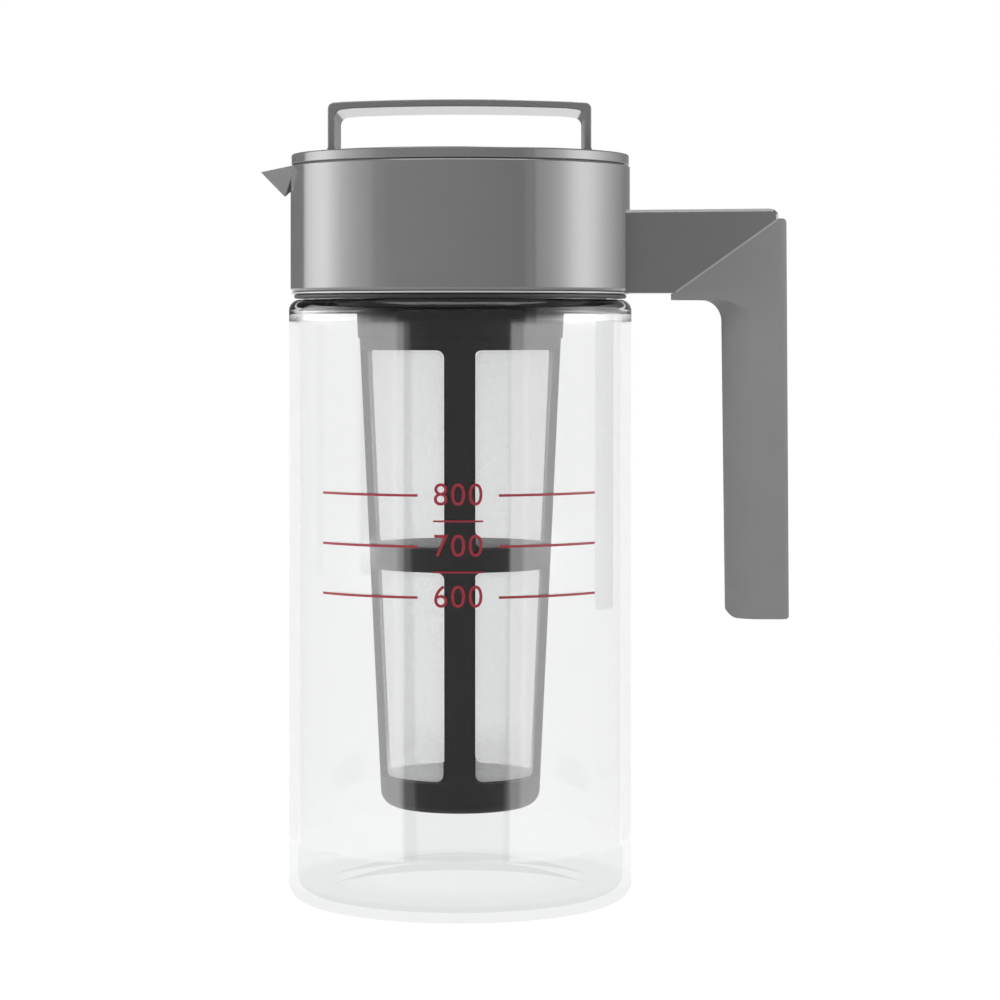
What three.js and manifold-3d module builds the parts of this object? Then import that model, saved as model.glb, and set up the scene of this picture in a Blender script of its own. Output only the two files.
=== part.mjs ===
// Cold brew coffee maker: a clear one litre jug with a collar, a side handle, a twist lid and a hanging filter.
// Millimetres, +Z up. Every piece is laid out about the jug's own axis, with z = 0 on the table.
// The outer group then moves the whole to the middle of its footprint: spout at -X, handle at +X.

import * as THREE from 'three';
import { mergeVertices } from 'three/addons/utils/BufferGeometryUtils.js';
import { ConvexGeometry } from 'three/addons/geometries/ConvexGeometry.js';
import Module from 'manifold-3d';

const wasm = await Module();
wasm.setup();

// Fits
const gap = 0.3; // between pieces that are cut to each other
const seatGap = 0.1; // between flat faces that rest on each other
const overrun = 6; // how far a cutter runs past what it cuts
const bite = 0.5; // how far two joined shapes run into each other
const half = 0.5;
const fullTurn = 2 * Math.PI;
const rightAngle = Math.PI / 2;

// Jug, one clear moulding
const jugRadius = 50;
const jugWall = 2.6;
const baseWall = 2.6;
const footCorner = 4.7;
const footWidth = 2.8;
const domeRise = 8.4;
const floorCorner = 4;
const shoulderTop = 174;
const neckHeight = 30.5;
const neckWall = 2.6;
const neckRimChamfer = 0.6;
const beadRise = 0.7;
const beadHeight = 2.4;
const beadAboveShoulder = 15;

// Gasket on the jug's shoulder, and the ring that locks the collar to the neck
const gasketHeight = 1.2;
const gasketWidth = 2.6;
const neckRingWall = 1.4;

// Collar, with the spout
const collarInset = 0.45; // how far the collar's outside is inside the jug's
const collarWall = 1.95;
const collarEdge = 0.6;
const webThickness = 1.8;
const webReach = 4.2;
const ridgeRise = 3;
const ridgeHeight = 1.6;
const ridgeSpread = 24 * Math.PI / 180;
const ridgeBelowTop = 1.7;
const ridgeCount = 3;
const spoutReach = 8.95;
const spoutHalfWidth = 11;
const spoutTipDrop = 1.6;
const spoutChinReach = 1.75;
const spoutChinDrop = 9;
const spoutRootDrop = 6;
const spoutWall = 1.2;
const spoutTipWallShare = 2; // the wall measured along the spout's axis, per wall
const spoutEdgeWallShare = 1.4; // the same across its slanted sides

// Handle arm, with the spigot in the collar's wall and the tang inside the grip
const armReach = 42.55;
const armHeight = 24.1;
const armHalfDepth = 13;
const armCorner = 1.8;
const spigotInset = 5;
const spigotSideInset = 4;
const seamLowReach = 11.35; // from the collar to the slanted seam's lower end
const seamLowDrop = 0.7; // from the arm's underside to that end
const seamHighDrop = 2.5; // from the arm's top to the seam's upper end
const tangSideInset = 5.5;
const tangWidth = 9;
const tangStopAboveGripEnd = 12;

// Grip
const gripLength = 93.4;
const gripTopProud = 2.4; // past the arm's end, at the top and at the end
const gripEndProud = 3.1;
const gripTopWidth = 19.1;
const gripEndWidth = 18.4;
const gripTopCorner = 1.4;
const gripEndCorner = 3;
const gripOuterEndCorner = 1;
const noseDrop = 1.2;
const throatRadiusX = 4.8;
const throatRadiusZ = 6.3;
const gripInnerRoundX = 10.4; // the column's inner side is half an ellipse
const gripOuterRadius = 3;

// Lid cover
const lidSeam = 0.3;
const lidHeight = 3;
const lidWall = 1.8;
const lidEdge = 0.7;

// Lid plug: deck, sealing skirt and the boss that the filter screws on
const deckThickness = 1.8;
const deckClearance = 0.4;
const skirtClearance = 0.8;
const skirtWall = 2.4;
const skirtLength = 29.3;
const grooveDepth = 1.2;
const grooveHeight = 3.2;
const grooveAboveEnd = 3;
const bossInset = 12.2; // between the skirt's bore and the boss
const bossWall = 1.8;
const bossLength = 40.3;
const lugReach = 4;
const lugHeight = 1.6;
const lugRoom = 1.1; // under the lugs, above the collar's web
const lugSpread = 14 * Math.PI / 180;
const lugLead = 36 * Math.PI / 180; // how far the lugs stand from the collar's ridges at rest
const pourSlotCount = 5;
const pourSlotWidth = 3;
const pourSlotHeight = 5.4;
const pourSlotStep = 7 * Math.PI / 180;
const pourSlotBelowDeck = 0.7;

// Strap handle on the lid
const strapInset = 2; // from the skirt's bore to the strap's end
const strapHalfWidth = 19;
const strapThickness = 2;
const strapRise = 14.2;
const strapArch = 0.9;
const strapOuterCorner = 1.9;
const strapInnerCorner = 2.4;
const strapBevel = 0.4;
const footFlareOut = 0.5;
const footFlareIn = 0.8;
const footFlareHeight = 1.3;
const strapTangHalfWidth = 8;
const barbReach = 0.9;
const barbHeight = 1.4;

// Filter ring
const ringClearance = 1; // round the boss
const ringTopWall = 2.3;
const ringEndWall = 1.3;
const ringBelowBoss = 9.2;
const ringHeight = 21.2;
const threadRise = 0.5;
const threadHeight = 1.4;
const threadSpread = 30 * Math.PI / 180;
const threadCount = 3;
const threadAboveBossEnd = 2.5;
const threadBelowRingTop = 2.5;

// Filter cage
const cageStepIn = 0.5; // how far the cage's outside is inside the ring's
const cageTaper = 6.2;
const cageAboveFloor = 15.6;
const cageCorner = 4.6;
const cageWall = 2.4;
const cageFloor = 2;
const neckInClearance = 0.4; // of the cage's neck, inside the ring
const neckInWall = 1.6;
const neckInHeight = 3.4;
const ribWidth = 8.5;
const windowCorner = 2.2;
const rimHeight = 3.1;
const upperWindowHeight = 56.6;
const hoopHeight = 6.7;
const cupHeight = 9;

// Filter mesh
const meshThickness = 0.5;

// Facets
const largeRound = 56;
const smallRound = 48;
const cornerSteps = 3;
const columnSteps = 10;
const domeSteps = 4;
const archSteps = 8;
const sectorSteps = 6;

// Radii that several pieces share, from the jug inwards
const jugBore = jugRadius - jugWall;
const collarRadius = jugRadius - collarInset;
const collarBore = collarRadius - collarWall;
const neckRadius = collarBore - gap - neckRingWall - gap;
const neckBore = neckRadius - neckWall;
const shoulderRadius = jugRadius - neckRadius;
const skirtRadius = neckBore - skirtClearance;
const skirtBore = skirtRadius - skirtWall;
const strapHalfLength = skirtBore - strapInset;
const bossRadius = skirtBore - bossInset;
const ringBore = bossRadius + ringClearance;
const ringTopRadius = ringBore + ringTopWall;
const ringEndRadius = ringBore + ringEndWall;
const cageTopRadius = ringEndRadius - cageStepIn;
const cageEndRadius = cageTopRadius - cageTaper;

// Heights that several pieces share
const neckTop = shoulderTop + neckHeight;
const collarEnd = shoulderTop + gap + gasketHeight + gap;
const webTop = neckTop + gap + webThickness;
const lugHigh = webTop + lugRoom + lugHeight;
const ridgeHigh = lugHigh + gap + ridgeHeight;
const collarTop = ridgeHigh + ridgeBelowTop;
const lidEnd = collarTop + lidSeam;
const lidTop = lidEnd + lidHeight;
const deckTop = lidTop - lidWall - gap;
const deckEnd = deckTop - deckThickness;
const bossEnd = deckEnd - bossLength;
const ringEnd = bossEnd - ringBelowBoss;
const cageTop = ringEnd - gap;
const cageEnd = domeRise + baseWall + cageAboveFloor;
const cageSlope = cageTaper / (cageTop - cageEnd - cageCorner);
const upperWindowTop = cageTop - rimHeight;
const upperWindowEnd = upperWindowTop - upperWindowHeight;
const lowerWindowTop = upperWindowEnd - hoopHeight;
const lowerWindowEnd = cageEnd + cupHeight;

// Arm and grip
const armEnd = collarRadius + armReach;
const armBottom = collarEnd;
const armTop = armBottom + armHeight;
const spigotHalfDepth = armHalfDepth - spigotSideInset;
const tangHalfDepth = armHalfDepth - tangSideInset;
const seamLowX = collarRadius + seamLowReach;
const seamLowZ = armBottom - seamLowDrop;
const seamHighZ = armTop - seamHighDrop;
const seamSlope = (seamHighZ - seamLowZ) / (armEnd - seamLowX);
const gripTopX = armEnd + gripTopProud;
const gripEndX = armEnd + gripEndProud;
const gripInnerTopX = gripTopX - gripTopWidth;
const gripInnerEndX = gripEndX - gripEndWidth;
const gripEnd = seamLowZ - gripLength;

// A closed mesh as a solid, with its welded points and without the slivers of a lathe's pole.
function toSolid(geometry) {
  const bare = geometry.index ? geometry.toNonIndexed() : geometry.clone();
  bare.deleteAttribute('normal');
  bare.deleteAttribute('uv');
  const welded = mergeVertices(bare);
  const corners = welded.index.array;
  const kept = [];
  for (let i = 0; i < corners.length; i += 3) {
    const [a, b, c] = [corners[i], corners[i + 1], corners[i + 2]];
    if (a !== b && b !== c && c !== a) kept.push(a, b, c);
  }
  const vertProperties = new Float32Array(welded.attributes.position.array);
  return new wasm.Manifold(new wasm.Mesh({ numProp: 3, vertProperties, triVerts: new Uint32Array(kept) }));
}

function toGeometry(solid) {
  const mesh = solid.getMesh();
  const geometry = new THREE.BufferGeometry();
  geometry.setAttribute('position', new THREE.BufferAttribute(new Float32Array(mesh.vertProperties), 3));
  geometry.setIndex(new THREE.BufferAttribute(new Uint32Array(mesh.triVerts), 1));
  geometry.computeVertexNormals();
  return geometry;
}

// Points of an arc in a lathe profile or an outline, from one angle to another.
function arc(centreX, centreZ, radiusX, radiusZ, from, to, steps = cornerSteps) {
  const points = [];
  for (let i = 0; i <= steps; i += 1) {
    const angle = from + (to - from) * i / steps;
    points.push([centreX + radiusX * Math.cos(angle), centreZ + radiusZ * Math.sin(angle)]);
  }
  return points;
}

// A turned solid about Z from [radius, height] points, listed upwards along the outside.
function turned(profile, segments = smallRound) {
  const points = profile.map(([radius, height]) => new THREE.Vector2(Math.max(radius, 0), height));
  const onAxis = points[0].x === 0 && points[points.length - 1].x === 0;
  if (!onAxis) points.push(points[0].clone());
  const geometry = new THREE.LatheGeometry(points, segments);
  geometry.rotateX(rightAngle);
  return toSolid(geometry);
}

function ring(innerRadius, outerRadius, low, high, segments = smallRound) {
  return turned([[innerRadius, low], [outerRadius, low], [outerRadius, high], [innerRadius, high]], segments);
}

function disc(radius, low, high, segments = smallRound) {
  return turned([[0, low], [radius, low], [radius, high], [0, high]], segments);
}

// A solid from an outline in the XZ plane, from the front (-halfDepth) to the back (+halfDepth).
function upright(outline, halfDepth, bevel = 0) {
  const shape = new THREE.Shape(outline.map(([x, z]) => new THREE.Vector2(x, z)));
  const geometry = new THREE.ExtrudeGeometry(shape, {
    depth: 2 * (halfDepth - bevel),
    bevelEnabled: bevel > 0,
    bevelThickness: bevel,
    bevelSize: bevel,
    bevelOffset: -bevel,
    bevelSegments: 2,
  });
  geometry.rotateX(rightAngle);
  geometry.translate(0, halfDepth - bevel, 0);
  return toSolid(geometry);
}

// A solid from an outline in the XY plane, between two heights.
function raised(outline, low, high) {
  const shape = new THREE.Shape(outline.map(([x, y]) => new THREE.Vector2(x, y)));
  const geometry = new THREE.ExtrudeGeometry(shape, { depth: high - low, bevelEnabled: false });
  geometry.translate(0, 0, low);
  return toSolid(geometry);
}

function box(lowX, highX, lowY, highY, lowZ, highZ) {
  const geometry = new THREE.BoxGeometry(highX - lowX, highY - lowY, highZ - lowZ);
  geometry.translate((lowX + highX) * half, (lowY + highY) * half, (lowZ + highZ) * half);
  return toSolid(geometry);
}

function turnAboutZ(solid, angle) {
  return solid.rotate([0, 0, angle * 180 / Math.PI]);
}

// A piece of a flat ring, centred on an angle.
function sector(innerRadius, outerRadius, centre, spread, low, high) {
  const from = centre - spread * half;
  const to = centre + spread * half;
  const outer = arc(0, 0, outerRadius, outerRadius, from, to, sectorSteps);
  const inner = arc(0, 0, innerRadius, innerRadius, to, from, sectorSteps);
  return raised([...outer, ...inner], low, high);
}

function sectors(count, first, innerRadius, outerRadius, spread, low, high) {
  const all = [];
  for (let i = 0; i < count; i += 1) {
    all.push(sector(innerRadius, outerRadius, first + fullTurn * i / count, spread, low, high));
  }
  return all;
}

function joined(first, others) {
  return others.reduce((sum, other) => sum.add(other), first);
}

function without(first, others) {
  return others.reduce((sum, other) => sum.subtract(other), first);
}

// Jug: domed base on a foot ring, straight wall, round shoulder and a neck with a snap bead.
function jugBody() {
  const footInner = jugRadius - footCorner - footWidth;
  const domeRadius = (footInner ** 2 + domeRise ** 2) / (2 * domeRise);
  const domeAngle = Math.asin(footInner / domeRadius);
  const dome = arc(0, domeRise - domeRadius, domeRadius, domeRadius, rightAngle, rightAngle - domeAngle, domeSteps);
  const shoulderZ = shoulderTop - shoulderRadius;
  const beadLow = shoulderTop + beadAboveShoulder;
  const innerShoulderZ = shoulderZ - jugWall;
  const floorZ = baseWall + floorCorner;
  const innerDome = dome.map(([radius, height]) => [radius, height + baseWall]).reverse();
  return turned([
    ...dome,
    ...arc(jugRadius - footCorner, footCorner, footCorner, footCorner, -rightAngle, 0),
    ...arc(neckRadius, shoulderZ, shoulderRadius, shoulderRadius, 0, rightAngle),
    [neckRadius, beadLow],
    [neckRadius + beadRise, beadLow + beadRise],
    [neckRadius + beadRise, beadLow + beadHeight - beadRise],
    [neckRadius, beadLow + beadHeight],
    [neckRadius, neckTop - neckRimChamfer],
    [neckRadius - neckRimChamfer, neckTop],
    [neckBore + neckRimChamfer, neckTop],
    [neckBore, neckTop - neckRimChamfer],
    ...arc(neckBore, innerShoulderZ, jugBore - neckBore, shoulderRadius, rightAngle, 0),
    ...arc(jugBore - floorCorner, floorZ, floorCorner, floorCorner, 0, -rightAngle),
    ...innerDome,
  ], largeRound);
}

function neckGasket() {
  const low = shoulderTop + gap;
  const inner = neckRadius + gap;
  return ring(inner, inner + gasketWidth, low, low + gasketHeight);
}

// Ring between the neck and the collar, grooved for the neck's snap bead.
function neckRing() {
  const inner = neckRadius + gap;
  const outer = collarBore - gap;
  const grooveLow = shoulderTop + beadAboveShoulder - gap;
  const grooveHigh = grooveLow + beadHeight + 2 * gap;
  const grooveRadius = inner + beadRise;
  return turned([
    [inner, collarEnd],
    [outer, collarEnd],
    [outer, neckTop],
    [inner, neckTop],
    [inner, grooveHigh],
    [grooveRadius, grooveHigh - beadRise],
    [grooveRadius, grooveLow + beadRise],
    [inner, grooveLow],
  ]);
}

// The spout's outside is half a pyramid hung on the collar: tip, chin and two top corners.
function spoutHull(inset, lift, rootX) {
  const tipX = -collarRadius - spoutReach + inset * spoutTipWallShare;
  const chinX = -collarRadius - spoutChinReach + inset * half;
  const halfWidth = spoutHalfWidth - inset * spoutEdgeWallShare;
  const tipZ = collarTop - spoutTipDrop;
  const chinZ = collarTop - spoutChinDrop + inset * spoutEdgeWallShare;
  const rootZ = collarTop - spoutRootDrop + inset;
  const points = [
    [tipX, 0, tipZ], [tipX, 0, tipZ + lift],
    [chinX, 0, chinZ], [rootX, 0, rootZ],
    [-collarBore, halfWidth, collarTop], [-collarBore, -halfWidth, collarTop],
    [rootX, halfWidth, collarTop + lift], [rootX, -halfWidth, collarTop + lift],
  ];
  return toSolid(new ConvexGeometry(points.map(([x, y, z]) => new THREE.Vector3(x, y, z))));
}

// Collar: outer wall, a web over the neck's rim, three ridges for the lid's lugs, and the spout.
function collarShell() {
  const webBore = collarBore - webReach;
  const webEnd = neckTop + gap;
  const wall = turned([
    [collarBore, collarEnd],
    [collarRadius - collarEdge, collarEnd],
    [collarRadius, collarEnd + collarEdge],
    [collarRadius, collarTop],
    [collarBore, collarTop],
    [collarBore, webTop],
    [webBore, webTop],
    [webBore, webEnd],
    [collarBore, webEnd],
  ], largeRound);
  const ridgeInner = collarBore - ridgeRise;
  const ridges = sectors(ridgeCount, 0, ridgeInner, collarBore + bite, ridgeSpread,
    ridgeHigh - ridgeHeight, ridgeHigh);
  const spout = spoutHull(0, 0, -collarBore - bite);
  const channel = spoutHull(spoutWall, overrun, -collarBore + overrun)
    .subtract(disc(collarRadius + spoutReach + overrun, collarEnd, webTop));
  const spigot = armSpigot(gap);
  return without(joined(wall, [...ridges, spout]), [channel, spigot]);
}

// The arm's spigot goes through a window in the collar's wall.
function armSpigot(clearance) {
  return box(0, collarRadius + bite, -spigotHalfDepth - clearance, spigotHalfDepth + clearance,
    armBottom + spigotInset - clearance, armTop - spigotInset + clearance);
}

function seamZ(x) {
  return seamLowZ + (x - seamLowX) * seamSlope;
}

// The tang's outline runs from the seam down into the grip.
function tangOutline(clearance) {
  const middleTop = (gripInnerTopX + gripTopX) * half;
  const middleEnd = (gripInnerEndX + gripEndX) * half;
  const reach = tangWidth * half + clearance;
  const end = gripEnd + tangStopAboveGripEnd - clearance;
  return [
    [middleEnd - reach, end],
    [middleEnd + reach, end],
    [middleTop + reach, seamZ(middleTop + reach) + bite],
    [middleTop - reach, seamZ(middleTop - reach) + bite],
  ];
}

// Arm: cut to the collar at its root and along the slanted seam at its end.
function handleArm() {
  const seamDrop = gap * half;
  const root = collarBore * half;
  const arm = upright([
    [root, armBottom],
    [seamLowX + (armBottom - seamLowZ + seamDrop) / seamSlope, armBottom],
    [armEnd, seamHighZ + seamDrop],
    ...arc(armEnd - armCorner, armTop - armCorner, armCorner, armCorner, 0, rightAngle),
    [root, armTop],
  ], armHalfDepth);
  const outside = disc(collarRadius + gap, armBottom - overrun, armTop + overrun, largeRound);
  const behind = disc(collarBore, armBottom - overrun, armTop + overrun, largeRound);
  const tang = upright(tangOutline(0), tangHalfDepth);
  return arm.subtract(outside).add(armSpigotSolid()).add(tang).subtract(behind);
}

function armSpigotSolid() {
  return box(collarBore * half, collarRadius + gap + bite, -spigotHalfDepth, spigotHalfDepth,
    armBottom + spigotInset, armTop - spigotInset);
}

// Grip: a flat-sided head along the seam, then a column with round edges.
function handleGrip() {
  const seamDrop = gap * half;
  const noseZ = seamLowZ - noseDrop;
  const lean = (gripEndX - gripTopX) / (seamHighZ - gripEnd);
  const outline = [
    [seamLowX, noseZ],
    [gripInnerTopX - throatRadiusX, noseZ],
    ...arc(gripInnerTopX - throatRadiusX, noseZ - throatRadiusZ, throatRadiusX, throatRadiusZ, rightAngle, 0),
    [gripInnerEndX, gripEnd + gripEndCorner],
    ...arc(gripInnerEndX + gripEndCorner, gripEnd + gripEndCorner, gripEndCorner, gripEndCorner,
      2 * rightAngle, 3 * rightAngle),
    ...arc(gripEndX - gripOuterEndCorner, gripEnd + gripOuterEndCorner, gripOuterEndCorner,
      gripOuterEndCorner, -rightAngle, 0),
    ...arc(gripTopX + lean - gripTopCorner, seamHighZ - gripTopCorner, gripTopCorner, gripTopCorner, 0, rightAngle),
    [armEnd, seamHighZ - seamDrop],
    [seamLowX, seamLowZ - seamDrop],
  ];
  const whole = upright(outline, armHalfDepth);
  const headEnd = noseZ - throatRadiusZ;
  const head = box(0, gripEndX + overrun, -armHalfDepth, armHalfDepth, headEnd, armTop);
  const outerX = gripEndX - gripOuterRadius;
  const outerY = armHalfDepth - gripOuterRadius;
  const column = raised([
    ...arc(outerX, outerY, gripOuterRadius, gripOuterRadius, 0, rightAngle),
    ...arc(gripInnerTopX + gripInnerRoundX, 0, gripInnerRoundX, armHalfDepth, rightAngle, 3 * rightAngle,
      columnSteps),
    ...arc(outerX, -outerY, gripOuterRadius, gripOuterRadius, 3 * rightAngle, 4 * rightAngle),
  ], gripEnd - overrun, headEnd + bite);
  return whole.intersect(head.add(column)).subtract(upright(tangOutline(gap), tangHalfDepth + gap));
}

// Openings for the strap's two tangs, through the cover and the deck below it.
function strapSlots() {
  const inner = strapHalfLength - strapThickness - gap;
  const outer = strapHalfLength + gap;
  const reach = strapTangHalfWidth + gap;
  return [1, -1].map((side) => box(Math.min(side * inner, side * outer), Math.max(side * inner, side * outer),
    -reach, reach, deckEnd - overrun, lidTop + overrun));
}

function lidCover() {
  const cover = turned([
    [collarBore, lidEnd],
    [collarRadius, lidEnd],
    ...arc(collarRadius - lidEdge, lidTop - lidEdge, lidEdge, lidEdge, 0, rightAngle),
    [0, lidTop],
    [0, lidTop - lidWall],
    [collarBore, lidTop - lidWall],
  ], largeRound);
  return without(cover, strapSlots());
}

// Plug: a deck under the cover, a grooved skirt in the neck, and the filter's boss.
function lidPlug() {
  const deckRadius = collarBore - deckClearance;
  const skirtEnd = deckEnd - skirtLength;
  const grooveLow = skirtEnd + grooveAboveEnd;
  const plug = turned([
    [0, deckEnd],
    [bossRadius - bossWall, deckEnd],
    [bossRadius - bossWall, bossEnd],
    [bossRadius, bossEnd],
    [bossRadius, deckEnd],
    [skirtBore, deckEnd],
    [skirtBore, skirtEnd],
    [skirtRadius, skirtEnd],
    [skirtRadius, grooveLow],
    [skirtRadius - grooveDepth, grooveLow],
    [skirtRadius - grooveDepth, grooveLow + grooveHeight],
    [skirtRadius, grooveLow + grooveHeight],
    [skirtRadius, deckEnd],
    [deckRadius, deckEnd],
    [deckRadius, deckTop],
    [0, deckTop],
  ]);
  const lugs = sectors(ridgeCount, lugLead, skirtRadius - bite, skirtRadius + lugReach, lugSpread,
    lugHigh - lugHeight, lugHigh);
  const threadLow = bossEnd + threadAboveBossEnd;
  const threads = sectors(threadCount, 0, bossRadius - bite, bossRadius + threadRise, threadSpread,
    threadLow, threadLow + threadHeight);
  const slotHigh = deckEnd - pourSlotBelowDeck;
  const slots = [];
  for (let i = 0; i < pourSlotCount; i += 1) {
    const angle = (i - (pourSlotCount - 1) * half) * pourSlotStep;
    const slot = box(-skirtRadius - overrun, -skirtBore + overrun, -pourSlotWidth * half, pourSlotWidth * half,
      slotHigh - pourSlotHeight, slotHigh);
    slots.push(turnAboutZ(slot, angle));
  }
  return without(joined(plug, [...lugs, ...threads]), [...slots, ...strapSlots()]);
}

function lidGasket() {
  const low = deckEnd - skirtLength + grooveAboveEnd + gap;
  const high = low + grooveHeight - 2 * gap;
  const inner = skirtRadius - grooveDepth + gap;
  const outer = neckBore - gap;
  const middle = (low + high) * half;
  const lip = (high - low) * half;
  return turned([
    [inner, low],
    ...arc(outer - lip, middle, lip, lip, -rightAngle, rightAngle, cornerSteps),
    [inner, high],
  ]);
}

// Strap: two legs with flared feet and a slightly arched top, with tangs that snap under the deck.
function lidHandle() {
  const low = lidTop + seatGap;
  const cornerTop = lidTop + strapRise;
  const inner = strapHalfLength - strapThickness;
  const archTop = (x) => cornerTop + strapArch * (1 - (x / strapHalfLength) ** 2);
  const rightHalf = [
    [inner - footFlareIn, low],
    [strapHalfLength + footFlareOut, low],
    [strapHalfLength, low + footFlareHeight],
    ...arc(strapHalfLength - strapOuterCorner, cornerTop - strapOuterCorner, strapOuterCorner,
      strapOuterCorner, 0, rightAngle),
  ];
  const top = [];
  const under = [];
  for (let i = 1; i < archSteps; i += 1) {
    const share = 1 - 2 * i / archSteps;
    const topX = (strapHalfLength - strapOuterCorner) * share;
    const underX = -(inner - strapInnerCorner) * share;
    top.push([topX, archTop(topX)]);
    under.push([underX, archTop(underX) - strapThickness]);
  }
  const leftHalf = rightHalf.map(([x, z]) => [-x, z]).reverse();
  const innerZ = cornerTop - strapThickness - strapInnerCorner;
  const leftInner = arc(-inner + strapInnerCorner, innerZ, strapInnerCorner, strapInnerCorner,
    2 * rightAngle, rightAngle);
  const rightInner = arc(inner - strapInnerCorner, innerZ, strapInnerCorner, strapInnerCorner, rightAngle, 0);
  const strap = upright([
    ...rightHalf,
    ...top,
    ...leftHalf,
    [-inner, low + footFlareHeight],
    ...leftInner,
    ...under,
    ...rightInner,
    [inner, low + footFlareHeight],
  ], strapHalfWidth, strapBevel);
  const barbTop = deckEnd - gap;
  const tangs = [1, -1].map((side) => {
    const outline = [
      [inner, low + bite],
      [inner, barbTop],
      [inner - barbReach, barbTop],
      [inner, barbTop - barbHeight],
      [strapHalfLength, barbTop - barbHeight],
      [strapHalfLength, low + bite],
    ].map(([x, z]) => [side * x, z]);
    return upright(outline, strapTangHalfWidth);
  });
  return joined(strap, tangs);
}

// Ring at the filter's top, which screws over the lid's boss.
function filterRing() {
  const top = ringEnd + ringHeight;
  const body = turned([
    [ringBore, ringEnd],
    [ringEndRadius, ringEnd],
    [ringTopRadius, top],
    [ringBore, top],
  ]);
  const threadHigh = top - threadBelowRingTop;
  const threads = sectors(threadCount, fullTurn * half / threadCount, ringBore - threadRise, ringBore + bite,
    threadSpread, threadHigh - threadHeight, threadHigh);
  return joined(body, threads);
}

// A tapered shell that follows the cage, between two depths under its outer face.
function taperedShell(outerInset, innerInset, low, high) {
  const radiusAt = (height) => cageTopRadius - (cageTop - height) * cageSlope;
  return turned([
    [radiusAt(low) - innerInset, low],
    [radiusAt(low) - outerInset, low],
    [radiusAt(high) - outerInset, high],
    [radiusAt(high) - innerInset, high],
  ]);
}

// A window between two ribs: straight sides along the ribs, round corners, grown inwards by a margin.
function windowCutter(low, high, margin) {
  const near = ribWidth * half + margin;
  const far = cageTopRadius + overrun;
  const radius = windowCorner;
  const outline = [
    ...arc(near + radius, low + margin + radius, radius, radius, 2 * rightAngle, 3 * rightAngle),
    [far, low + margin],
    [far, high - margin],
    ...arc(near + radius, high - margin - radius, radius, radius, rightAngle, 2 * rightAngle),
  ];
  const alongY = upright(outline, far);
  return alongY.intersect(turnAboutZ(alongY, rightAngle));
}

// Where the eight windows are: four round the upper half and four round the lower.
const windowRows = [
  { name: 'upper', low: upperWindowEnd, high: upperWindowTop },
  { name: 'lower', low: lowerWindowEnd, high: lowerWindowTop },
];
const windowsInRow = 4;

// Cage: a tapered cup with four ribs, a hoop at mid height, a closed end and a neck that goes into the ring.
function filterCage() {
  const cornerZ = cageEnd + cageCorner;
  const innerEnd = cageEndRadius - cageWall;
  const innerCorner = cageCorner - cageWall;
  const neckInRadius = ringBore - neckInClearance;
  const neckInTop = cageTop + neckInHeight;
  const shell = turned([
    [0, cageEnd],
    ...arc(cageEndRadius - cageCorner, cornerZ, cageCorner, cageCorner, -rightAngle, 0),
    [cageTopRadius, cageTop],
    [neckInRadius, cageTop],
    [neckInRadius, neckInTop],
    [neckInRadius - neckInWall, neckInTop],
    [neckInRadius - neckInWall, cageTop],
    ...arc(innerEnd - innerCorner, cageEnd + cageFloor + innerCorner, innerCorner, innerCorner, 0, -rightAngle),
    [0, cageEnd + cageFloor],
  ]);
  const windows = [];
  for (const row of windowRows) {
    for (let i = 0; i < windowsInRow; i += 1) {
      windows.push(turnAboutZ(windowCutter(row.low, row.high, 0), rightAngle * i));
    }
  }
  return without(shell, windows);
}

function meshPanel(row, index) {
  const outerInset = cageWall - meshThickness;
  const shell = taperedShell(outerInset, outerInset + meshThickness, row.low, row.high);
  return shell.intersect(turnAboutZ(windowCutter(row.low, row.high, gap), rightAngle * index));
}

const finishes = {
  clearPlastic: { color: 0xf2f4f4, roughness: 0.05, metalness: 0, transparent: true, opacity: 0.3 },
  glossGrey: { color: 0x6e6e6e, roughness: 0.18, metalness: 0 },
  matteGrey: { color: 0x828282, roughness: 0.75, metalness: 0 },
  innerGrey: { color: 0x5a5a5a, roughness: 0.35, metalness: 0 },
  darkPlastic: { color: 0x2e2e2e, roughness: 0.35, metalness: 0 },
  darkRubber: { color: 0x262626, roughness: 0.8, metalness: 0 },
  paleMesh: { color: 0xd4d4d0, roughness: 0.7, metalness: 0 },
};

const maker = new THREE.Group();
maker.position.x = -(gripEndX - collarRadius - spoutReach) * half;

function place(name, solid, finish) {
  const mesh = new THREE.Mesh(toGeometry(solid), new THREE.MeshStandardMaterial(finish));
  mesh.name = name;
  maker.add(mesh);
}

place('jug_body', jugBody(), finishes.clearPlastic);
place('neck_gasket', neckGasket(), finishes.darkRubber);
place('neck_ring', neckRing(), finishes.innerGrey);
place('collar_shell', collarShell(), finishes.glossGrey);
place('handle_arm', handleArm(), finishes.glossGrey);
place('handle_grip', handleGrip(), finishes.matteGrey);
place('lid_gasket', lidGasket(), finishes.darkRubber);
place('lid_cover', lidCover(), finishes.glossGrey);
place('lid_plug', lidPlug(), finishes.innerGrey);
place('lid_handle', lidHandle(), finishes.glossGrey);
place('filter_ring', filterRing(), finishes.darkPlastic);
place('filter_cage', filterCage(), finishes.darkPlastic);
for (const row of windowRows) {
  for (let i = 0; i < windowsInRow; i += 1) {
    place(`mesh_${row.name}_${i + 1}`, meshPanel(row, i), finishes.paleMesh);
  }
}

export default maker;
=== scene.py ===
"""A cold brew coffee maker: clear jug, grey collar with a spout, side handle, twist lid and hanging filter."""

import math
import bpy
from mathutils import Matrix, Vector


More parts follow.
